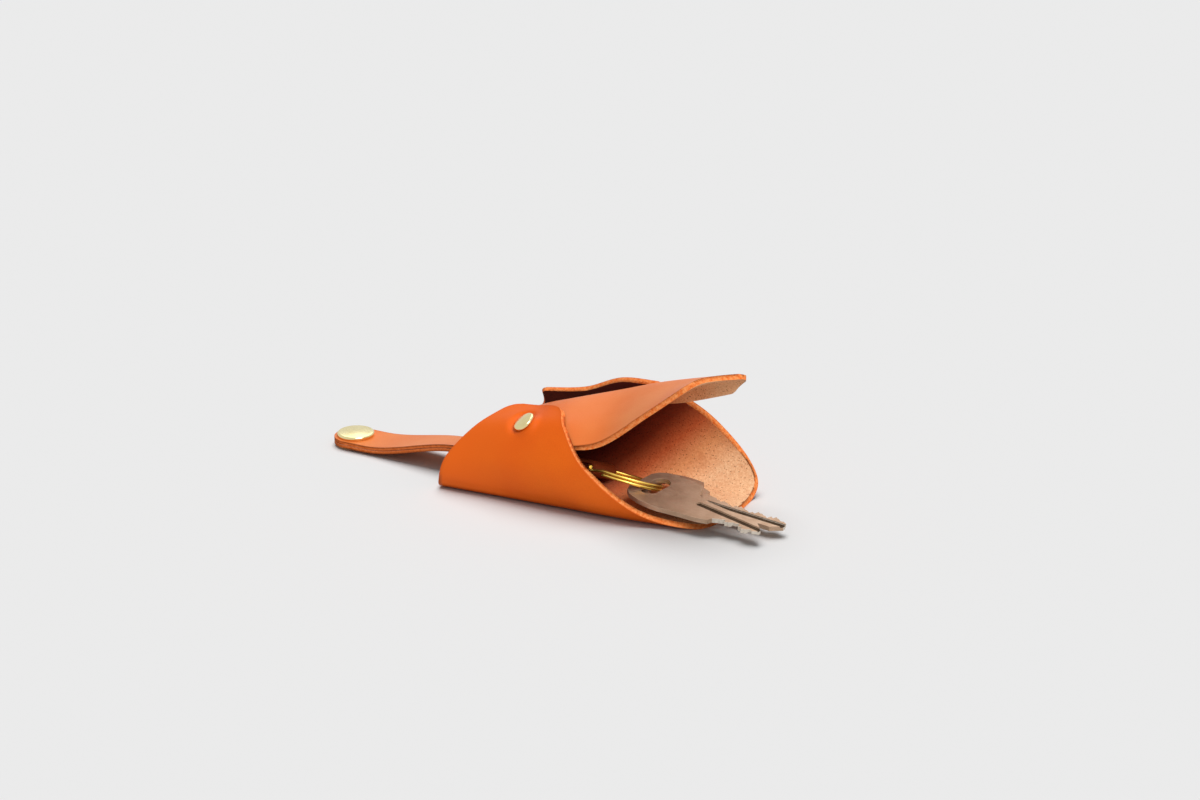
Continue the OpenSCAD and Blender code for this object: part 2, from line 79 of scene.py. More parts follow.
# %% Sizes in millimetres
pouch = np.array([116.0, 50.0, 44.0])
flap_size = np.array([116.0, 37.0, 57.0])
leather_t = 2.1
tuck_gap = 0.5
corner_front, corner_rear = 3.2, 2.2
centre = np.array([39.2055, 0.45, 0.0])
rivet_d, rivet_h, rivet_seat = 9.0, 1.3, 0.5
strap_w, strap_t, strap_out, strap_in = 17.5, 1.25, 53.0, 57.5
exit_z, strap_veer, strap_y, strap_rise = 9.0, 5.5, 3.0, 44.0
snap_d, snap_cap_h, snap_base_h = 15.0, 1.9, 0.9
layer_gap, play, wire_d, ring_d, turn_gap = 0.3, 0.15, 1.2, 30.0, 0.15
ring_tilt, ring_dip = 24.0, 5.0
snap_z = snap_base_h + strap_t + layer_gap / 2
ring_r = (ring_d - wire_d) / 2
ring_x = strap_in + ring_r
ring_pitch = wire_d + turn_gap
ring_z = leather_t + play + ring_r * math.sin(math.radians(ring_tilt)) + (ring_pitch + wire_d) / 2

# %% [markdown]
# One function turns a colour written as sRGB hex into the linear numbers that the shaders
# use. One more adds a node with its settings and links, so a material reads from top to
# bottom like a recipe. A pattern's scale is worked out from its real size in millimetres.
# Everything is placed in the piece's own coordinates, so a pattern moves with its piece.

# %% Colour and node helpers
def paint(code):
    """Linear RGBA of an sRGB hex colour."""
    parts = [int(code[i : i + 2], 16) / 255 for i in (1, 3, 5)]
    return tuple(c / 12.92 if c <= 0.04045 else ((c + 0.055) / 1.055) ** 2.4 for c in parts) + (1.0,)


def add(tree, kind, sockets=None, **settings):
    """Adds a node. sockets maps an input to a value or to another node's output."""
    made = tree.nodes.new(kind)
    for name, value in settings.items():
        setattr(made, name, value)
    for name, value in (sockets or {}).items():
        if isinstance(value, bpy.types.NodeSocket):
            tree.links.new(value, made.inputs[name])
        else:
            made.inputs[name].default_value = value
    return made


def per(size_mm):
    """Texture scale at which one feature is size_mm wide."""
    return 1000.0 / size_mm


def begin(name):
    """A new material's tree with its output, its shader and the piece's own coordinates."""
    made = bpy.data.materials.new(name)
    made.use_nodes = True
    tree = made.node_tree
    tree.nodes.clear()
    shader = add(tree, "ShaderNodeBsdfPrincipled")
    out = add(tree, "ShaderNodeOutputMaterial")
    tree.links.new(shader.outputs[0], out.inputs[0])
    return made, tree, shader, add(tree, "ShaderNodeTexCoord").outputs["Object"]


def mixed(tree, low, high, factor, how="MIX"):
    """A colour between two, by a factor."""
    return add(tree, "ShaderNodeMix", {0: factor, 6: low, 7: high}, data_type="RGBA", blend_type=how).outputs[2]


def faded(tree, place, colour, fade):
    """Turns a colour into that of fade, between two places along X in metres."""
    start, stop, code = fade
    way = add(tree, "ShaderNodeSeparateXYZ", {"Vector": place})
    share = add(tree, "ShaderNodeMapRange", {0: way.outputs[0], 1: start, 2: stop, 3: 0.0, 4: 1.0})
    return mixed(tree, colour, paint(code), share.outputs[0])


# %% [markdown]
# Each mesh is built with bmesh operators, then one function makes it an object of the scene.
# Its materials come in the order of the numbers that its faces carry.

# %% Mesh helper
def linked_object(name, bm, materials=()):
    """Turns a bmesh into an object at the origin."""
    mesh = bpy.data.meshes.new(name)
    bm.to_mesh(mesh)
    bm.free()
    for material in materials:
        mesh.materials.append(material)
    piece = bpy.data.objects.new(name, mesh)
    bpy.context.scene.collection.objects.link(piece)
    return piece


# %% [markdown]
# The skin is vegetable-tanned cowhide, dyed through and lightly waxed. To the eye it is an
# even orange with a slow drift in tone, a fine pore grain and a satin gloss that pales where
# it faces the light. Its rim is darker, where the cutter pressed it. The grain is drawn as
# coarse as 0.7 mm, a little coarser than real, so that it shows at all. The flap and the
# strap are paler copies of the same hide: painted sheen, for the gloss they show where they
# face up. The flap fades darker towards the narrow end, and the strap darker where it goes
# inside the case: both are painted shade.

# %% Grain side of the leather
def leather_grain(name, base, deep, light, shine, rim_dark, fade):
    made, tree, shader, place = begin(name)
    drift = add(tree, "ShaderNodeTexNoise", {"Vector": place, "Scale": per(22), "Detail": 3.0})
    tone = add(tree, "ShaderNodeMapRange", {0: drift.outputs[0], 1: 0.35, 2: 0.65})
    cells = add(tree, "ShaderNodeTexVoronoi", {"Vector": place, "Scale": per(0.7)}, feature="F1")
    fibre = add(tree, "ShaderNodeTexNoise", {"Vector": place, "Scale": per(0.35), "Detail": 4.0})
    colour = mixed(tree, paint(base), paint(light), tone.outputs[0])
    speck = add(tree, "ShaderNodeMapRange", {0: fibre.outputs[0], 1: 0.3, 2: 0.7, 3: 0.0, 4: 0.16})
    colour = mixed(tree, colour, paint(deep), speck.outputs[0])
    rim = add(tree, "ShaderNodeAttribute", attribute_name="border").outputs["Fac"]
    worn = add(tree, "ShaderNodeMapRange", {0: rim, 1: 0.1, 2: 0.7, 3: rim_dark, 4: 0.0})
    colour = mixed(tree, colour, paint(deep), worn.outputs[0])
    tree.links.new(faded(tree, place, colour, fade), shader.inputs["Base Color"])
    gloss = add(tree, "ShaderNodeMapRange", {0: fibre.outputs[0], 1: 0.3, 2: 0.7, 3: 0.40, 4: 0.52})
    tree.links.new(gloss.outputs[0], shader.inputs["Roughness"])
    pores = add(tree, "ShaderNodeBump", {"Strength": 0.10, "Distance": 0.0001, "Height": cells.outputs[0]})
    nap = add(tree, "ShaderNodeBump", {"Strength": 0.18, "Distance": 0.0001, "Height": fibre.outputs[0],
                                       "Normal": pores.outputs[0]})
    tree.links.new(nap.outputs[0], shader.inputs["Normal"])
    shader.inputs["Specular IOR Level"].default_value = shine
    return made


skin = leather_grain("veg_tanned_cowhide_grain", "#EB6210", "#B44208", "#F06C14",
                     shine=0.18, rim_dark=0.3, fade=(0.01, -0.04, "#EE6818"))
# Paler copy of the hide for the flap: painted sheen. Its fade to a darker tone at the narrow end is painted shade.
flap_skin_painted_sheen_and_shade = leather_grain("veg_tanned_cowhide_flap_painted_sheen_and_shade", "#EC7C38", "#BA581E", "#F18C48",
                          shine=0.38, rim_dark=0.5, fade=(0.03, -0.015, "#E0702E"))
# Paler copy of the hide for the strap: painted sheen. Its fade to dark brown inside the case is painted shade.
strap_skin_painted_sheen_and_shade = leather_grain("veg_tanned_cowhide_strap_painted_sheen_and_shade", "#E97A36", "#BA581E", "#EE8844",
                           shine=0.2, rim_dark=0.5, fade=(-0.01, 0.02, "#6A2A10"))
print("leather grain:", skin.name, flap_skin_painted_sheen_and_shade.name, strap_skin_painted_sheen_and_shade.name)

# %% [markdown]
# The flesh side is the same hide without its skin: a short nap, pale and dry, with dark
# specks of dye caught in open fibres. A strong fine bump and a little sheen give it the
# look of suede, where a single rough colour would look like plastic. Its colour runs through
# a ramp from the closed end to the mouth, and on the pouch it is darker higher up the walls:
# painted shade deep inside the case and under the flap, painted light towards the mouth and
# towards the flap's open end. On the strap the ramp darkens inside the case, painted shade
# too. The cut edge is fibrous and bright, with a darker line under the skin, and it darkens
# towards the narrow end, which is painted shade. The strap's edge was burnished smooth, and
# its darkening inside the case is painted shade.

# %% Flesh side and cut edge
def leather_flesh_painted_shading(name, climb, shading_stops):
    """Stops are millimetres from the closed end towards the mouth, less climb times the height; their colours are
    painted shade inside and painted light towards the mouth.
    """
    made, tree, shader, place = begin(name)
    way = add(tree, "ShaderNodeSeparateXYZ", {"Vector": place})
    high = add(tree, "ShaderNodeMath", {0: way.outputs[2], 1: -climb}, operation="MULTIPLY")
    inside = add(tree, "ShaderNodeMath", {0: way.outputs[0], 1: high.outputs[0]}, operation="ADD")
    first, last = shading_stops[0][0], shading_stops[-1][0]
    share = add(tree, "ShaderNodeMapRange", {0: inside.outputs[0], 1: first * MM, 2: last * MM})
    ramp = add(tree, "ShaderNodeValToRGB", {0: share.outputs[0]})
    while len(ramp.color_ramp.elements) < len(shading_stops):
        ramp.color_ramp.elements.new(0.5)
    for stop, (at, code) in zip(ramp.color_ramp.elements, shading_stops):
        stop.position, stop.color = (at - first) / (last - first), paint(code)
    drift = add(tree, "ShaderNodeTexNoise", {"Vector": place, "Scale": per(9), "Detail": 5.0})
    nap = add(tree, "ShaderNodeTexNoise", {"Vector": place, "Scale": per(0.8), "Detail": 6.0, "Roughness": 0.7})
    spots = add(tree, "ShaderNodeTexVoronoi", {"Vector": place, "Scale": per(0.9)}, feature="F1")
    tone = add(tree, "ShaderNodeMapRange", {0: drift.outputs[0], 1: 0.35, 2: 0.65, 3: 0.25, 4: 0.0})
    colour = mixed(tree, ramp.outputs[0], paint("#E2B89C"), tone.outputs[0], "MULTIPLY")
    fuzz = add(tree, "ShaderNodeMapRange", {0: nap.outputs[0], 1: 0.36, 2: 0.6, 3: 0.5, 4: 0.0})
    colour = mixed(tree, colour, paint("#D19E7F"), fuzz.outputs[0], "MULTIPLY")
    dot = add(tree, "ShaderNodeMapRange", {0: spots.outputs[0], 1: 0.16, 2: 0.26, 3: 0.85, 4: 0.0})
    some = add(tree, "ShaderNodeMath", {0: spots.outputs["Color"], 1: 0.5}, operation="GREATER_THAN")
    both = add(tree, "ShaderNodeMath", {0: dot.outputs[0], 1: some.outputs[0]}, operation="MULTIPLY")
    colour = mixed(tree, colour, paint("#84442A"), both.outputs[0], "MULTIPLY")
    tree.links.new(colour, shader.inputs["Base Color"])
    shader.inputs["Roughness"].default_value = 0.92
    shader.inputs["Specular IOR Level"].default_value = 0.1
    shader.inputs["Sheen Weight"].default_value = 0.06
    rough = add(tree, "ShaderNodeBump", {"Strength": 0.6, "Distance": 0.0003, "Height": nap.outputs[0]})
    tree.links.new(rough.outputs[0], shader.inputs["Normal"])
    return made


def leather_edge(name, low, high, rim, fuzz, fade):
    made, tree, shader, place = begin(name)
    clump = add(tree, "ShaderNodeTexNoise", {"Vector": place, "Scale": per(1.1), "Detail": 5.0, "Roughness": 0.7})
    fibre = add(tree, "ShaderNodeTexVoronoi", {"Vector": place, "Scale": per(0.45)}, feature="F1")
    tone = add(tree, "ShaderNodeMapRange", {0: clump.outputs[0], 1: 0.36, 2: 0.62})
    colour = mixed(tree, paint(low), paint(high), tone.outputs[0])
    depth = add(tree, "ShaderNodeAttribute", attribute_name="depth").outputs["Fac"]
    line = add(tree, "ShaderNodeMapRange", {0: depth, 1: 0.02, 2: 0.14, 3: 0.45, 4: 0.0})
    colour = mixed(tree, colour, paint(rim), line.outputs[0])
    tree.links.new(faded(tree, place, colour, fade), shader.inputs["Base Color"])
    shader.inputs["Roughness"].default_value = 0.8
    shader.inputs["Specular IOR Level"].default_value = 0.12
    first = add(tree, "ShaderNodeBump", {"Strength": fuzz, "Distance": 0.0004, "Height": clump.outputs[0]})
    rough = add(tree, "ShaderNodeBump", {"Strength": fuzz * 0.7, "Distance": 0.0002, "Height": fibre.outputs[0],
                                         "Normal": first.outputs[0]})
    tree.links.new(rough.outputs[0], shader.inputs["Normal"])
    return made


# Painted shading: dark where shade falls deep inside, pale where light reaches in at the mouth and the flap's open
# end; the strap's flesh darkens inside the case, painted shade.
flesh = leather_flesh_painted_shading("cowhide_flesh_inside_painted_shading", 1.0, (
    (-30, "#3F1407"), (3, "#652014"), (14, "#8B3A1E"), (26, "#E27A48"), (38, "#FFBA80"), (53, "#FFD2A4")))
flap_flesh = leather_flesh_painted_shading("cowhide_flesh_of_flap_painted_shading", 0.0, (
    (0, "#8B3A1E"), (30, "#C8683A"), (50, "#FFBA84"), (65, "#FFCC9C")))
strap_flesh = leather_flesh_painted_shading("cowhide_flesh_of_strap_painted_shade", 0.0, ((-80, "#FFC49A"), (20, "#D88E60")))
# Both edges fade darker along X: the cut edge towards the narrow end, the burnished strap edge inside the case. Both
# fades are painted shade.
edge = leather_edge("cowhide_cut_edge_painted_shade", "#E86A24", "#FFA25E", "#A8441A", 0.7, (0, -0.05, "#D4601E"))
burnished_edge_painted_shade = leather_edge("cowhide_burnished_edge_painted_shade", "#BE561E", "#DC763C", "#9A4018", 0.3, (-0.01, 0.02, "#64260C"))
print("leather sides:", flesh.name, flap_flesh.name, strap_flesh.name, edge.name, burnished_edge_painted_shade.name)

# %% [markdown]
# The caps are pale polished brass, the ring is yellower brass wire, and the keys are nickel
# silver that has browned in a pocket, paler in their cuts and darker on the floors of their
# grooves. A metal's colour is that of its reflection, so each gets a metallic shader with
# fine scratches that change its gloss and its surface.

# %% Metals
def metal(name, base, dull, gloss, scratch_mm, depth):
    made, tree, shader, place = begin(name)
    turn = add(tree, "ShaderNodeMapping", {"Vector": place, "Rotation": (0.2, 0.1, 0.5), "Scale": (1, 14, 14)})
    lines = add(tree, "ShaderNodeTexNoise", {"Vector": turn.outputs[0], "Scale": per(scratch_mm * 14), "Detail": 6.0})
    bloom = add(tree, "ShaderNodeTexNoise", {"Vector": place, "Scale": per(5), "Detail": 4.0})
    tone = add(tree, "ShaderNodeMapRange", {0: bloom.outputs[0], 1: 0.4, 2: 0.7, 3: 0.0, 4: 0.6})
    tree.links.new(mixed(tree, paint(base), paint(dull), tone.outputs[0]), shader.inputs["Base Color"])
    worn = add(tree, "ShaderNodeMapRange", {0: lines.outputs[0], 1: 0.3, 2: 0.7, 3: gloss, 4: gloss * 1.7})
    tree.links.new(worn.outputs[0], shader.inputs["Roughness"])
    shader.inputs["Metallic"].default_value = 1.0
    bump = add(tree, "ShaderNodeBump", {"Strength": depth, "Distance": 0.00005, "Height": lines.outputs[0]})
    tree.links.new(bump.outputs[0], shader.inputs["Normal"])
    return made


cap_brass = metal("polished_pale_brass", "#EBDDA6", "#E0CE90", 0.14, 0.25, 0.10)
brass = metal("drawn_brass_wire", "#F0CC66", "#DEB048", 0.28, 0.2, 0.0)
key_metal = metal("worn_nickel_silver", "#BDA189", "#A6886E", 0.46, 0.3, 0.3)
cut_metal = metal("fresh_cut_nickel_silver", "#DCD2C4", "#C4B6A4", 0.35, 0.2, 0.3)
# Darker metal for the floors of the key grooves.
dark_groove_floor = metal("dark_floor_of_key_grooves", "#5A4838", "#3A2C20", 0.6, 0.3, 0.1)
print("metals:", cap_brass.name, brass.name, key_metal.name, cut_metal.name, dark_groove_floor.name)

# %% [markdown]
# Leather bends in smooth sweeps. Each sheet follows a net of points: rows from the narrow
# end to the mouth, and in a row from one edge across to the other. A curve that passes
# through all the points, in both directions, makes the surface. A subdivision surface would
# be quicker, but it shrinks away from its points, and the sheet has to meet the solid.

# %% Smooth surface through a net
def weights(at, count):
    """How much of each of count points a smooth curve takes at each place."""
    at = np.asarray(at, float)
    i = np.clip(np.floor(at).astype(int), 0, count - 2)
    f = (at - i)[:, None]
    one = np.eye(count)
    ends = np.vstack([2 * one[0] - one[1], one, 2 * one[-1] - one[-2]])
    a, b, c, d = ends[i], ends[i + 1], ends[i + 2], ends[i + 3]
    return b + ((c - a) * f + (2 * a - 5 * b + 4 * c - d) * f**2 + (3 * b - a - 3 * c + d) * f**3) / 2


def on_net(net, along, across):
    """Points of the surface at shares along the net and point numbers across it."""
    rows, cols = net.shape[:2]
    return np.einsum("vi,ijk,vj->vk", weights(along * (rows - 1), rows), net, weights(across, cols))


def net_normal(net, along, across, h=0.01):
    top = net.shape[1] - 1
    slope_a = on_net(net, along + h, across) - on_net(net, along - h, across)
    slope_b = on_net(net, along, np.minimum(across + h, top)) - on_net(net, along, np.maximum(across - h, 0))
    n = np.cross(slope_a, slope_b)
    return n / np.linalg.norm(n, axis=1)[:, None]


def round_corners(net, along, across):
    """Draws the ends of the rows in where the sheet's corners are cut round."""
    top = net.shape[1] - 1

    def spot(a, b):
        return on_net(net, np.array([float(a)]), np.array([float(b)]))[0]

    inset = np.zeros(len(along))
    for side, near, r in ((0, 1, corner_front), (top, top - 1, corner_rear)):
        run = np.linalg.norm(spot(1, side) - spot(0, side))
        reach = r / np.linalg.norm(spot(0.5, side) - spot(0.5, near))
        d = np.clip(np.abs(across - side) / reach, 0, 1)
        inset = np.maximum(inset, r / run * (1 - np.sqrt(1 - (1 - d) ** 2)))
    return inset + along * (1 - 2 * inset)


# %% [markdown]
# A sheet starts as a flat grid. Its faces are extruded once, which gives the flesh side and
# the cut edge, and then each point is moved to its place: the skin onto the net, the flesh a
# thickness below. The blade cuts at a slant, so the flesh's border is shifted a little
# along the sheet, and the border is bevelled, as a worker rounds an edge. Two numbers stay
# on the points for the materials: the distance to the border, and the depth under the skin.

# %% Cut a sheet of leather
thick_edge_round, thin_edge_round, edge_slant = 0.3, 0.25, 0.9


def cut_leather(name, steps, place, thick, edge_round, sides, slant=0.0, until=1.0):
    """place(u, v) gives the skin's points and the way into the leather, in millimetres.
    The cut edge slants: up to u = until the flesh side reaches further out, then less far."""
    bm = bmesh.new()
    depth = bm.verts.layers.float.new("depth")
    border = bm.verts.layers.float.new("border")
    bmesh.ops.create_grid(bm, x_segments=steps[1], y_segments=steps[0], size=0.5)
    made = bmesh.ops.extrude_face_region(bm, geom=bm.faces[:], use_keep_orig=True)["geom"]
    under = {g for g in made if isinstance(g, bmesh.types.BMVert)}
    flat = np.array([(v.co.x + 0.5, v.co.y + 0.5) for v in bm.verts])
    top, inward = place(flat[:, 0], flat[:, 1])
    step = np.where(flat < 1e-6, 0.01, np.where(flat > 1 - 1e-6, -0.01, 0))
    outward = top - place(flat[:, 0] + step[:, 0], flat[:, 1] + step[:, 1])[0]
    reach = np.maximum(np.linalg.norm(outward, axis=1), 1e-6)[:, None]
    outward = outward / reach * slant * np.clip((until - flat[:, :1]) * 8, -1, 1)
    for v, p, q, o in zip(bm.verts, top, inward, outward):
        below = v in under
        v.co = Vector(p + (q * thick + o) * below) * MM
        v[depth] = float(below)
    for f in bm.faces:
        down = sum(v in under for v in f.verts)
        f.material_index = 0 if down == 0 else 1 if down == len(f.verts) else 2
    rims = [e for e in bm.edges if len({f.material_index for f in e.link_faces}) == 2]
    rim_points = [v.co.copy() for v in {v for e in rims for v in e.verts}]
    tree = kdtree.KDTree(len(rim_points))
    for i, p in enumerate(rim_points):
        tree.insert(p, i)
    tree.balance()
    for v in bm.verts:
        v[border] = tree.find(v.co)[2] / MM
    bmesh.ops.bevel(bm, geom=rims, offset=edge_round * MM, offset_type="OFFSET", segments=3,
                    profile=0.5, affect="EDGES", material=-1, clamp_overlap=True)
    if bm.calc_volume(signed=True) < 0:
        bmesh.ops.reverse_faces(bm, faces=bm.faces[:])
    for f in bm.faces:
        f.smooth = True
    piece = linked_object(name, bm, sides)
    print(name, len(piece.data.polygons), "faces")
    return piece


# %% [markdown]
# The lower piece is the body of the case. It lies on the table, and its two wings fold up
# and over. The net's numbers are shares of its length, width and height, from the front
# wing's top edge, under the floor, to the rear wing's top edge. The leather dips a little
# round each rivet, because the rivet pulls two layers together, and the front cap was set
# a little askew and took the skin with it.

# %% Lower piece of the pouch
shell_share = np.array([
    [[0.205, -0.06, 0.745], [0.107, -0.26, 0.57], [0.025, -0.39, 0.31], [0.003, -0.43, 0.095],
     [0, -0.36, 0], [0, 0, 0], [0, 0.33, 0], [0.003, 0.42, 0.12], [0.05, 0.38, 0.34],
     [0.238, 0.27, 0.6], [0.252, 0.23, 0.8]],
    [[0.3, -0.08, 0.77], [0.298, -0.31, 0.665], [0.31, -0.465, 0.37], [0.39, -0.48, 0.105],
     [0.465, -0.38, 0], [0.49, 0, 0], [0.5, 0.33, 0], [0.49, 0.46, 0.13], [0.46, 0.47, 0.4],
     [0.4, 0.37, 0.66], [0.4, 0.3, 0.835]],
    [[0.357, -0.13, 0.81], [0.375, -0.33, 0.69], [0.42, -0.487, 0.4], [0.56, -0.507, 0.105],
     [0.7, -0.385, 0], [0.74, 0, 0], [0.75, 0.33, 0], [0.74, 0.47, 0.13], [0.69, 0.49, 0.39],
     [0.59, 0.4, 0.73], [0.54, 0.29, 0.98]],
    [[0.405, -0.18, 0.825], [0.448, -0.35, 0.7], [0.55, -0.5, 0.43], [0.74, -0.513, 0.115],
     [0.93, -0.375, 0], [0.99, 0, 0], [1, 0.3, 0], [0.995, 0.48, 0.13],
     [0.93, 0.54, 0.36], [0.83, 0.42, 0.7], [0.69, 0.26, 1.01]]])
shell_net = shell_share * pouch
front_rivet_at, rear_rivet_at = (0.32, 0.88), (0.16, 9.0)
front_cap_lean, rear_cap_lean = (-0.26, 0.19, 0), (0, 0, 0)
sway_depth, sway_size, sway_from = 0.25, 17, 6


def shell_out(along, across):
    p = on_net(shell_net, along, across)
    p[:, 2] = np.maximum(p[:, 2], 0)
    return p


def rivet_seats():
    """Middle, outward direction and the cap's own direction of both rivets, in the object's frame."""
    found = []
    for (a, b), lean in ((front_rivet_at, front_cap_lean), (rear_rivet_at, rear_cap_lean)):
        a, b = np.array([a]), np.array([b])
        out = -net_normal(shell_net, a, b)[0]
        cap = (out + lean) / np.linalg.norm(out + lean)
        found.append((shell_out(a, b)[0] - centre, out, cap))
    return found


def pull_in(points, inward, width=1.7):
    """Dips the skin round the rivets' caps, and tips it the way the caps were set."""
    for middle, out, cap in rivet_seats():
        off = points - middle
        away = np.linalg.norm(off, axis=1)
        near = np.exp(-(np.maximum(away - rivet_d / 2, 0) / width) ** 2)
        tip_up = -(off @ (cap - out * (cap @ out))) / (cap @ out) * (away < rivet_d * 2)
        points = points + inward * (rivet_seat * 0.8 * near)[:, None] + out * (tip_up * near)[:, None]
    return points


def sway(points, inward):
    """Slow unevenness, as a hide that was shaped by hand has."""
    wave = np.array([noise.noise(Vector(p) / sway_size) for p in points])
    return points + inward * (wave * sway_depth)[:, None]


def shell_place(u, v):
    across = u * (shell_net.shape[1] - 1)
    along = round_corners(shell_net, v, across)
    inward = net_normal(shell_net, along, across)
    points = pull_in(shell_out(along, across) - centre, inward)
    high = np.clip(points[:, 2] / sway_from, 0, 1)[:, None]
    return points + (sway(points, inward) - points) * high, inward


shell = cut_leather("pouch_leather", (72, 264), shell_place, leather_t, thick_edge_round,
                    (skin, flesh, edge), edge_slant, until=0.5)
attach(shell, "pouch")
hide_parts("pouch_shell")

# %% [markdown]
# The flap is a second hide that is tucked under both wings and held by the rivets. Past the
# rivets it is free, and rises to an open end like the peak of a cap. Its two held rows lie
# against the inside of the wings, and its free rows are arches between two edge points.

# %% Top flap
def shell_under(along, across, deep):
    a, b = np.array([float(along)]), np.array([float(across)])
    return (shell_out(a, b) + net_normal(shell_net, a, b) * (leather_t + deep))[0]


def half_arch(low, crown, bow):
    rows = []
    for q in range(3):
        t, w = q / 3, math.radians(30 * q)
        rows.append([low[0] + (crown[0] - low[0]) * t,
                     crown[1] + (low[1] - crown[1]) * ((1 - bow) * (1 - t) + bow * math.cos(w)),
                     low[2] + (crown[2] - low[2]) * ((1 - bow) * t + bow * math.sin(w))])
    return rows


def arch_row(front, crown, rear, front_bow=1.0):
    front, crown, rear = (np.array(p) * flap_size for p in (front, crown, rear))
    return half_arch(front, crown, front_bow) + [list(crown)] + half_arch(rear, crown, 1.0)[::-1]


def held_row(along, under, crown, shoulder, rim):
    crown = np.array(crown) * flap_size
    front = [shell_under(along, b, tuck_gap) for b in under]
    return front + [crown, (crown + shoulder) / 2 + np.array([0, 0, 2]), shoulder, rim]


rear_drop, free_bow = 2.2, 0.3
flap_end_share = np.array([
    [0.862, -0.32, 0.95], [0.89, -0.22, 0.975], [0.925, -0.1, 0.98], [0.96, 0.05, 0.97],
    [0.985, 0.17, 0.955], [0.99, 0.28, 0.912], [0.95, 0.35, 0.8]])
flap_net = np.array([
    arch_row([-0.004, -0.4, 0.185], [0.147, 0, 0.42], [0.02, 0.36, 0.175]),
    held_row(0.32, (1.7, 1, 0.35), [0.3, 0, 0.565],
             shell_under(0.16, 9, tuck_gap), shell_under(0.2, 8.2, 3 * tuck_gap)),
    held_row(0.9, (1.45, 0.9, 0.35), [0.397, 0, 0.635],
             shell_under(0.36, 9, rear_drop), shell_under(0.4, 8.2, rear_drop)),
    arch_row([0.582, -0.473, 0.503], [0.553, 0.162, 0.71], [0.585, 0.425, 0.56], free_bow),
    arch_row([0.731, -0.43, 0.738], [0.721, 0.135, 0.83], [0.785, 0.345, 0.675], free_bow),
    flap_end_share * flap_size])


def flap_place(u, v):
    across = u * (flap_net.shape[1] - 1)
    along = round_corners(flap_net, v, across)
    inward = -net_normal(flap_net, along, across)
    return on_net(flap_net, along, across) - centre, inward


flap = cut_leather("flap_leather", (110, 96), flap_place, leather_t, thick_edge_round,
                   (flap_skin_painted_sheen_and_shade, flap_flesh, edge), edge_slant, until=0.8)
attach(flap, "pouch")
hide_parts("top_flap")

# %% [markdown]
# The pull strap is a thinner band that runs from the press stud, through the case, round
# the ring and back. Its two layers lie flesh to flesh. The upper one opens at the stud, so
# it is a piece of its own, with no break in its skin. The lower one turns round the ring,
# and comes back on top to meet it inside the case. Both are drawn straight along X first,
# then moved and turned to where the strap lies.

# %% Strap
def ease(t):
    c = np.clip(t, 0, 1)
    return c * c * (3 - 2 * c)


loop_z = ring_z + ring_r * math.sin(math.radians(ring_dip))
loop_half = (ring_pitch + wire_d) / 2 + 4 * play
loop_end = ring_x - math.sqrt(ring_r**2 - strap_w**2 / 4)
loop_open = strap_in - wire_d - 2 * loop_half
loop_flare = 8.0
layers_meet = 12.0


def strap_rib(x, h, side, deep):
    """Points of the strap at x, h off its middle line, side to side, deep out of its inside face."""
    mid = np.where(x < 0, snap_z + (exit_z - snap_z) * ease((x + strap_rise) / strap_rise),
                   exit_z + (loop_z - exit_z) * ease(x / loop_open))
    w = np.radians(ring_tilt * ease((x + strap_rise) / (loop_open + strap_rise)))
    past = np.maximum(-strap_out - x, 0)
    y = side * np.sqrt(np.maximum((strap_w / 2) ** 2 - past**2, 0))
    bend = np.maximum(0, x - loop_end)
    out_x = np.where(bend > 0, bend / loop_half, 0)
    out_h = np.where(bend > 0, h / loop_half, np.sign(h))
    qx, qh = x + out_x * deep, h + out_h * deep
    return np.stack([qx, y * np.cos(w) + qh * np.sin(w), mid - y * np.sin(w) + qh * np.cos(w)], axis=1)


def layer_half(x):
    return layer_gap / 2 + (loop_half - layer_gap / 2) * ease((x - loop_open + loop_flare) / (loop_half + loop_flare))


def about(axis, degrees):
    """A turn about X, Y or Z."""
    return Matrix.Rotation(math.radians(degrees), 4, axis)


turn_strap = Matrix.Translation((-centre[0], strap_y - centre[1], 0)) @ about("Z", -strap_veer)


def strap_path(v, knots):
    """x and height at shares v of a path that is given as knots."""
    knots = np.array(knots)
    run = np.concatenate([[0], np.cumsum(np.linalg.norm(np.diff(knots, axis=0), axis=1))])
    return np.interp(v * run[-1], run, knots[:, 0]), np.interp(v * run[-1], run, knots[:, 1])


def strap_place(knots):
    def place(u, v):
        x, h = strap_path(v, knots)
        side = np.sin((u - 0.5) * math.pi * 0.96) / math.sin(math.pi * 0.48)
        top, low = strap_rib(x, h, side, strap_t), strap_rib(x, h, side, 0)
        turn = np.array(turn_strap)
        top, low = (p @ turn[:3, :3].T + turn[:3, 3] for p in (top, low))
        return top, (low - top) / strap_t
    return place


def straight(start, stop, count, sign):
    return [(x, sign * float(layer_half(np.array(x)))) for x in np.linspace(start, stop, count)]


tip = [-strap_out - strap_w / 2 * math.sin(math.radians(w)) for w in np.linspace(87, 0, 16)]
half = float(layer_half(np.array(-strap_out)))
upper_knots = [(x, half) for x in tip] + straight(-strap_out + 0.5, layers_meet, 70, 1)
bend = [(loop_end + loop_half * math.sin(w), loop_half * math.cos(w)) for w in np.linspace(0.1, math.pi - 0.1, 12)]
lower_knots = (straight(layers_meet, loop_end, 60, 1) + bend + straight(loop_end, -strap_out + 0.5, 130, -1)
               + [(x, -half) for x in tip[::-1]])

strap_sides = (strap_skin_painted_sheen_and_shade, strap_flesh, burnished_edge_painted_shade)
upper = cut_leather("strap_upper", (150, 30), strap_place(upper_knots), strap_t, thin_edge_round, strap_sides)
lower = cut_leather("strap_lower", (300, 30), strap_place(lower_knots), strap_t, thin_edge_round, strap_sides)
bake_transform(upper)
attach(lower, "pull")
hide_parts("strap_tail")
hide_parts("strap")

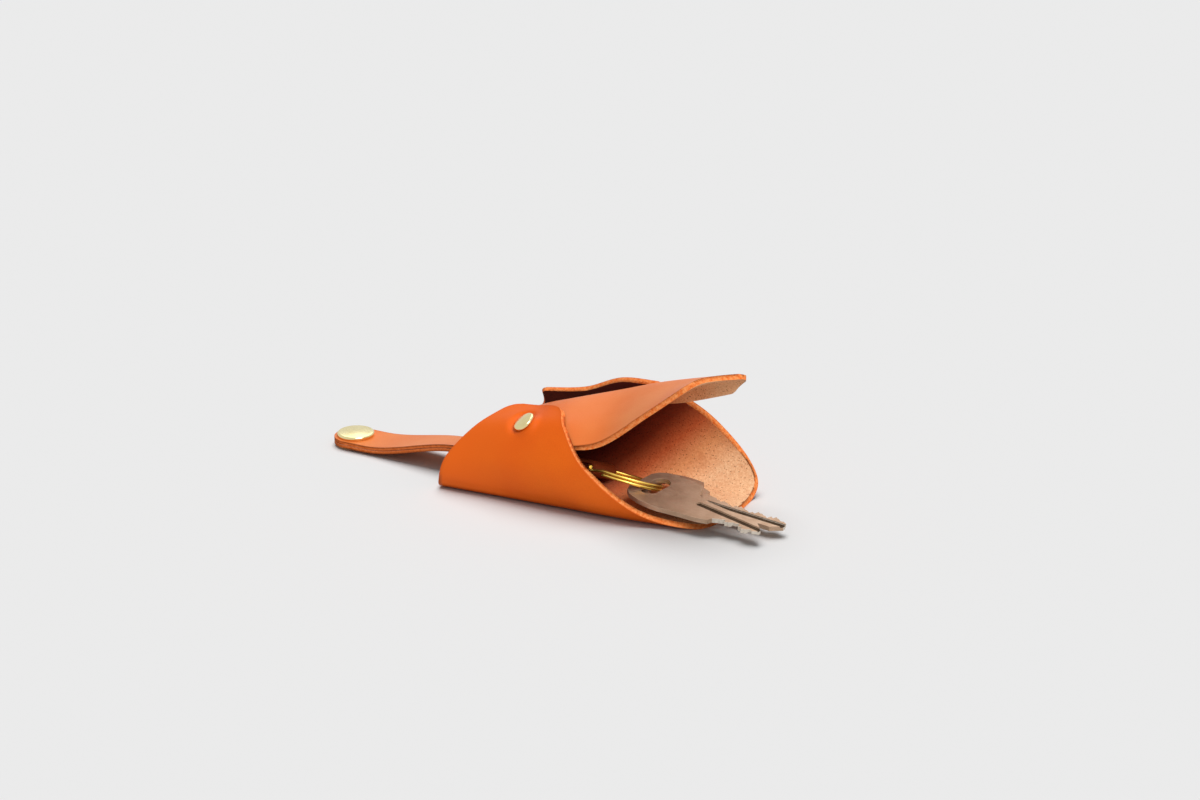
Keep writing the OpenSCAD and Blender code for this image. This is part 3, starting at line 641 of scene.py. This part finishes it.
# %% [markdown]
# Caps of rivets and press studs are pressed from sheet brass: a shallow crown, a tight round
# shoulder and a rim that curls under. That is a profile turned about an axis, so a few
# points are spun once round, which is cleaner than a bevelled cylinder.

# %% Spun caps
def spin_cap(name, profile, place, finish, steps=96):
    """Spins a profile of (radius, height) pairs in millimetres about Z, then moves it to its place."""
    bm = bmesh.new()
    points = [bm.verts.new((r * MM, 0, z * MM)) for r, z in profile]
    lines = [bm.edges.new(pair) for pair in zip(points, points[1:])]
    bmesh.ops.spin(bm, geom=points + lines, cent=(0, 0, 0), axis=(0, 0, 1), angle=2 * math.pi,
                   steps=steps, use_merge=True, use_duplicate=False)
    bmesh.ops.remove_doubles(bm, verts=bm.verts, dist=1e-6)
    bmesh.ops.recalc_face_normals(bm, faces=bm.faces)
    bmesh.ops.transform(bm, matrix=place, verts=bm.verts)
    for f in bm.faces:
        f.smooth = True
    piece = linked_object(name, bm, (finish,))
    print(name, len(piece.data.polygons), "faces")
    return piece


def cap_profile(radius, height, crown, shoulder):
    """From the underside's middle, round the rim and over the crown to its middle."""
    edge_z = height - crown
    under = [(0, 0), (radius * 0.6, 0), (radius - 0.35, 0), (radius - 0.1, 0.08), (radius, 0.28)]
    turn = [(radius - shoulder + shoulder * math.cos(w), edge_z - shoulder + shoulder * math.sin(w))
            for w in np.linspace(0, math.pi / 2 * 0.94, 9)]
    last = turn[-1]
    dome = [(last[0] * (1 - t), last[1] + (height - last[1]) * math.sin(t * math.pi / 2))
            for t in np.linspace(0.12, 1, 9)]
    return under + turn + dome


def scaled(matrix):
    """A placement in millimetres as one in metres."""
    made = matrix.copy()
    made.translation = made.translation * MM
    return made


snap_place = turn_strap @ Matrix.Translation((-strap_out, 0, snap_z))
snap = spin_cap("press_stud_cap", cap_profile(snap_d / 2, snap_cap_h, 0.3, 0.75),
                scaled(snap_place @ Matrix.Translation((0, 0, layer_gap / 2 + strap_t + 0.05))), cap_brass)
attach(snap, "tail")
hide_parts("snap_cap")

for name, (middle, _, facing) in zip(("front_rivet", "rear_rivet"), rivet_seats()):
    seat = Matrix.Translation(Vector(middle)) @ Vector(facing).to_track_quat("Z", "Y").to_matrix().to_4x4()
    cap = spin_cap(name, cap_profile(rivet_d / 2, rivet_h + rivet_seat, 0.35, 0.7),
                   scaled(seat @ Matrix.Translation((0, 0, -rivet_seat))), cap_brass, 72)
    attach(cap, "pouch")
    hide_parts(name + "_cap")

# %% [markdown]
# The split ring is one wire wound twice, with a short step where the first turn becomes the
# second. A circle is spun most of the way round, then a little further while it climbs, and
# then once more on the upper level. One spin with a steady climb would look like a spring.

# %% Split ring
ring_start, ring_climb = -100, 36


def wind_ring():
    bm = bmesh.new()
    start = bmesh.ops.create_circle(bm, segments=16, radius=wire_d / 2 * MM, cap_ends=True)["verts"]
    bmesh.ops.rotate(bm, cent=(0, 0, 0), matrix=Matrix.Rotation(math.pi / 2, 3, "X"), verts=start)
    bmesh.ops.translate(bm, vec=(ring_r * MM, 0, -ring_pitch / 2 * MM), verts=start)
    bmesh.ops.rotate(bm, cent=(0, 0, 0), matrix=Matrix.Rotation(math.radians(ring_start), 3, "Z"), verts=start)
    ring_end = bm.faces[:]
    level = 360 - ring_climb
    for degrees, climb, steps in ((level, 0, 90), (ring_climb, ring_pitch, 14), (level, 0, 90)):
        made = bmesh.ops.spin(bm, geom=ring_end, cent=(0, 0, 0), axis=(0, 0, 1),
                              dvec=(0, 0, climb / steps * MM), angle=math.radians(degrees), steps=steps)
        ring_end = made["geom_last"]
    bmesh.ops.remove_doubles(bm, verts=bm.verts, dist=1e-6)
    bmesh.ops.recalc_face_normals(bm, faces=bm.faces)
    place = turn_strap @ Matrix.Translation((ring_x, 0, ring_z)) @ about("X", -ring_tilt) @ about("Y", ring_dip)
    bmesh.ops.transform(bm, matrix=scaled(place), verts=bm.verts)
    for f in bm.faces:
        f.smooth = len(f.verts) == 4
    piece = linked_object("split_ring_wire", bm, (brass,))
    print(piece.name, len(piece.data.polygons), "faces")
    return piece, place


ring, ring_place = wind_ring()
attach(ring, "ring")
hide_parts("split_ring")

# %% [markdown]
# A key is stamped from flat strip, then its blade is milled and cut. Here its outline and
# its slot are drawn as two loops of edges, filled between, and extruded to the thickness.
# Long grooves are taken out with cutters and their floors are darker, the bites show fresh
# metal, and a small bevel catches the light on every edge. Both bows are plain. The plates
# are a little thinner than their solids, so that the two keys clear each other when they swing.

# %% Keys
key_t, key_bow_w, key_bow_back, key_blade_w = 1.88, 25.5, 7.5, 8.6
key_slot_l, key_slot_w, key_shift, key_roll = 14.0, 7.4, 0.9, 4.0
bite_space, bite_flat, bite_run, groove_from, groove_deep = 1.9, 0.4, 1.2, 20, 0.6


def loop_of(bm, points):
    """A closed loop of edges through points on the flat."""
    verts = [bm.verts.new((x * MM, y * MM, -key_t / 2 * MM)) for x, y in points]
    return [bm.edges.new((verts[i - 1], verts[i])) for i in range(len(verts))]


def key_outline(reach, stop, bites):
    """The key's outline with its cuts on the +Y side, from the back of the bow round to it again."""
    wide, thin = key_bow_w / 2, key_blade_w / 2
    bow = [(-key_bow_back, -6.5), (-6.2, -9.2), (-3.5, -11.3), (0, -12.4), (5, -wide), (10, -wide), (13, -12.2),
           (14.6, -10.6), (15.4, -8.2), (16.6, -6.3), (19, -thin - 0.5), (22, -thin)]
    point = [(reach - 4.2, -thin), (reach - 1.6, -thin * 0.55), (reach, -1.1),
             (reach, 1.1), (reach - 1.6, thin * 0.5)]
    cuts, x = [], reach - 2.6
    for deep in bites:
        cuts += [(x, thin - deep), (x - bite_flat, thin - deep), (x - bite_run, thin - deep + 0.7)]
        x -= bite_space
    shoulder = [(stop + 0.6, thin + 0.4), (stop, 7), (stop - 4, 8.6), ((stop + 7.75) / 2, 10.2), (11, 12.4),
                (8, wide), (2, 12.7), (-3.5, 11.3), (-6.2, 9.2), (-key_bow_back, 6.5)]
    return bow + point + [c for c in cuts if c[0] > stop + 1] + shoulder


def slot_outline():
    r, y = key_slot_w / 2, (key_slot_l - key_slot_w) / 2
    top = [(r * math.cos(w), y + r * math.sin(w)) for w in np.linspace(0, math.pi, 12)]
    return top + [(-x, -y2) for x, y2 in top]


def cut_away(piece, cutter):
    """Takes a cutter out of a piece, and removes the cutter."""
    tool = piece.modifiers.new("cut", "BOOLEAN")
    tool.operation, tool.solver, tool.object = "DIFFERENCE", "EXACT", cutter
    bpy.context.view_layer.update()
    done = bpy.data.meshes.new_from_object(piece.evaluated_get(bpy.context.evaluated_depsgraph_get()))
    piece.modifiers.clear()
    old, piece.data = piece.data, done
    bpy.data.meshes.remove(old)
    bpy.data.objects.remove(cutter)


def groove_cutter(start, stop, y, z, width, deep):
    bm = bmesh.new()
    bmesh.ops.create_cube(bm, size=1)
    bmesh.ops.scale(bm, vec=((stop - start) * MM, width * MM, 2 * deep * MM), verts=bm.verts)
    bmesh.ops.translate(bm, vec=((start + stop) / 2 * MM, y * MM, z * MM), verts=bm.verts)
    bmesh.ops.bevel(bm, geom=bm.edges[:], offset=deep / 2 * MM, offset_type="OFFSET", segments=2, profile=0.5,
                    affect="EDGES", material=-1, clamp_overlap=True)
    return linked_object("groove", bm)


def make_key(name, node, body, reach, stop, side, turn, yaw, pitch, bites):
    bm = bmesh.new()
    loops = loop_of(bm, key_outline(reach, stop, bites)) + loop_of(bm, slot_outline())
    bmesh.ops.triangle_fill(bm, use_beauty=True, use_dissolve=True, edges=loops)
    made = bmesh.ops.extrude_face_region(bm, geom=bm.faces[:], use_keep_orig=True)["geom"]
    bmesh.ops.translate(bm, vec=(0, 0, key_t * MM), verts=[g for g in made if isinstance(g, bmesh.types.BMVert)])
    bmesh.ops.recalc_face_normals(bm, faces=bm.faces)
    piece = linked_object(name, bm)
    for y, z, width in ((-0.6, 1, 2.6), (1.3, -1, 1.7)):
        cut_away(piece, groove_cutter(groove_from, reach + 2, y, z * key_t / 2, width, groove_deep))
    if side < 0:
        piece.data.transform(Matrix.Scale(-1, 4, (0, 1, 0)))
        piece.data.flip_normals()
    piece.data.materials.clear()
    for finish in (key_metal, cut_metal, dark_groove_floor):
        piece.data.materials.append(finish)
    for f in piece.data.polygons:
        in_bites = f.center.x > (stop + 1) * MM and side * f.center.y > 0
        if abs(f.normal.z) > 0.9 and abs(f.center.z) < (key_t / 2 - 0.2) * MM:
            f.material_index = 2
        else:
            f.material_index = int(in_bites and abs(f.normal.z) < 0.5)
    ease_edge = piece.modifiers.new("edges", "BEVEL")
    ease_edge.width, ease_edge.segments, ease_edge.limit_method = 0.2 * MM, 2, "ANGLE"
    ease_edge.angle_limit = math.radians(40)
    spot = about("Z", turn) @ Matrix.Translation((ring_r, 0, 0)) @ about("Z", -turn)
    level = about("Y", -ring_dip) @ about("X", ring_tilt)
    lie = about("Z", strap_veer + yaw) @ about("Y", pitch) @ about("X", key_roll)
    piece.data.transform(scaled(ring_place @ spot @ level @ lie @ Matrix.Translation((key_shift, 0, 0))))
    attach(piece, body)
    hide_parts(node)
    print(name, len(piece.data.polygons), "faces")


make_key("front_key_cut", "key_front", "front_key", reach=50, stop=31, side=-1, turn=-11, yaw=-17.5, pitch=5,
         bites=(2.6, 1.4, 2.2, 3.2, 2.5, 1.3, 2.0, 1.0))
make_key("rear_key_cut", "key_rear", "rear_key", reach=54, stop=17, side=1, turn=14, yaw=-10, pitch=3.3,
         bites=(2.4, 1.2, 1.8, 2.9, 2.0, 1.4, 2.6, 3.1, 2.2, 1.3, 1.9, 2.8, 2.1, 1.2, 1.7, 1.0))

# %% [markdown]
# The parts of the rivets and of the press stud that hide between the layers are turned
# brass, and their solids already have the right form. They only get their metal.

# %% Brass on the solids that stay
for name, finish in (("front_rivet_post", brass), ("rear_rivet_post", brass), ("snap_socket", brass),
                     ("snap_stud", brass), ("snap_post", cap_brass)):
    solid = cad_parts[name]
    solid.data.materials.clear()
    solid.data.materials.append(finish)
print("solids that stay in view: rivet posts, socket, stud and its base")

# %% [markdown]
# The studio is a pale table that runs past the picture. The camera sees it nearly white, also
# in the metal, but it throws back a greyer light, or the leather would wash out from below.

# %% Floor
pale = paint("#E9E9E9")


def seen_straight(tree):
    """1 where the camera, a reflection or a clear surface looks, and 0 for scattered light."""
    ray = add(tree, "ShaderNodeLightPath")
    direct = add(tree, "ShaderNodeMath", {0: ray.outputs["Is Camera Ray"], 1: ray.outputs["Is Glossy Ray"]},
                 operation="MAXIMUM")
    return add(tree, "ShaderNodeMath", {0: direct.outputs[0], 1: ray.outputs["Is Transmission Ray"]},
               operation="MAXIMUM").outputs[0]


bm = bmesh.new()
bmesh.ops.create_grid(bm, x_segments=1, y_segments=1, size=4)
floor_paint, tree, shader, _ = begin("matt_white_table")
shader.inputs["Base Color"].default_value = pale
shader.inputs["Roughness"].default_value = 1.0
shader.inputs["Specular IOR Level"].default_value = 0.0
dim = add(tree, "ShaderNodeBsdfDiffuse", {"Color": paint("#C0C0C0")})
both = add(tree, "ShaderNodeMixShader", {0: seen_straight(tree), 1: dim.outputs[0], 2: shader.outputs[0]})
tree.links.new(both.outputs[0], tree.nodes["Material Output"].inputs[0])
floor = linked_object("floor", bm, (floor_paint,))
print("floor:", floor_paint.name)

# %% [markdown]
# Three soft lamps stand around. The back one pales what faces up and back, and the right one
# lights the front and reaches into the mouth. A flag keeps both off the table, which has a
# lamp of its own from behind, so that its shadow is short and soft as in a light tent. Each
# is set so that a colour renders about as it is written.

# %% Lamps
for name, energy, wide, way, floor_link in (
        ("back_softbox", 0.95, 60, (0.15, -0.55, -0.8), "EXCLUDE"),
        ("right_softbox", 2.6, 34, (-0.55, 0.45, -0.7), "EXCLUDE"),
        ("table_softbox", 2.68, 50, (0.2, -0.32, -0.92), "INCLUDE")):
    sun = bpy.data.lights.new(name, "SUN")
    sun.energy = energy
    sun.angle = math.radians(wide)
    lamp = bpy.data.objects.new(name, sun)
    bpy.context.scene.collection.objects.link(lamp)
    lamp.rotation_euler = Vector(way).to_track_quat("-Z", "Y").to_euler()
    flag = bpy.data.collections.new(name + "_flag")
    flag.objects.link(floor)
    flag.collection_objects[0].light_linking.link_state = floor_link
    lamp.light_linking.receiver_collection = flag
    print(name, energy)

# %% [markdown]
# The sky glows evenly. Metal mirrors it bright, as it would a white tent, but it lights the
# leather only weakly, so that the lamps still shape it.

# %% World
world = bpy.data.worlds.new("studio")
bpy.context.scene.world = world
world.use_nodes = True
tree = world.node_tree
tree.nodes.clear()
glow = add(tree, "ShaderNodeBackground", {"Color": pale, "Strength": 0.28})
seen = add(tree, "ShaderNodeBackground", {"Color": pale, "Strength": 1.0})
which = add(tree, "ShaderNodeMixShader", {0: seen_straight(tree), 1: glow.outputs[0], 2: seen.outputs[0]})
add(tree, "ShaderNodeOutputWorld", {0: which.outputs[0]})
bpy.context.scene.view_settings.view_transform = "Standard"
print("world:", world.name)
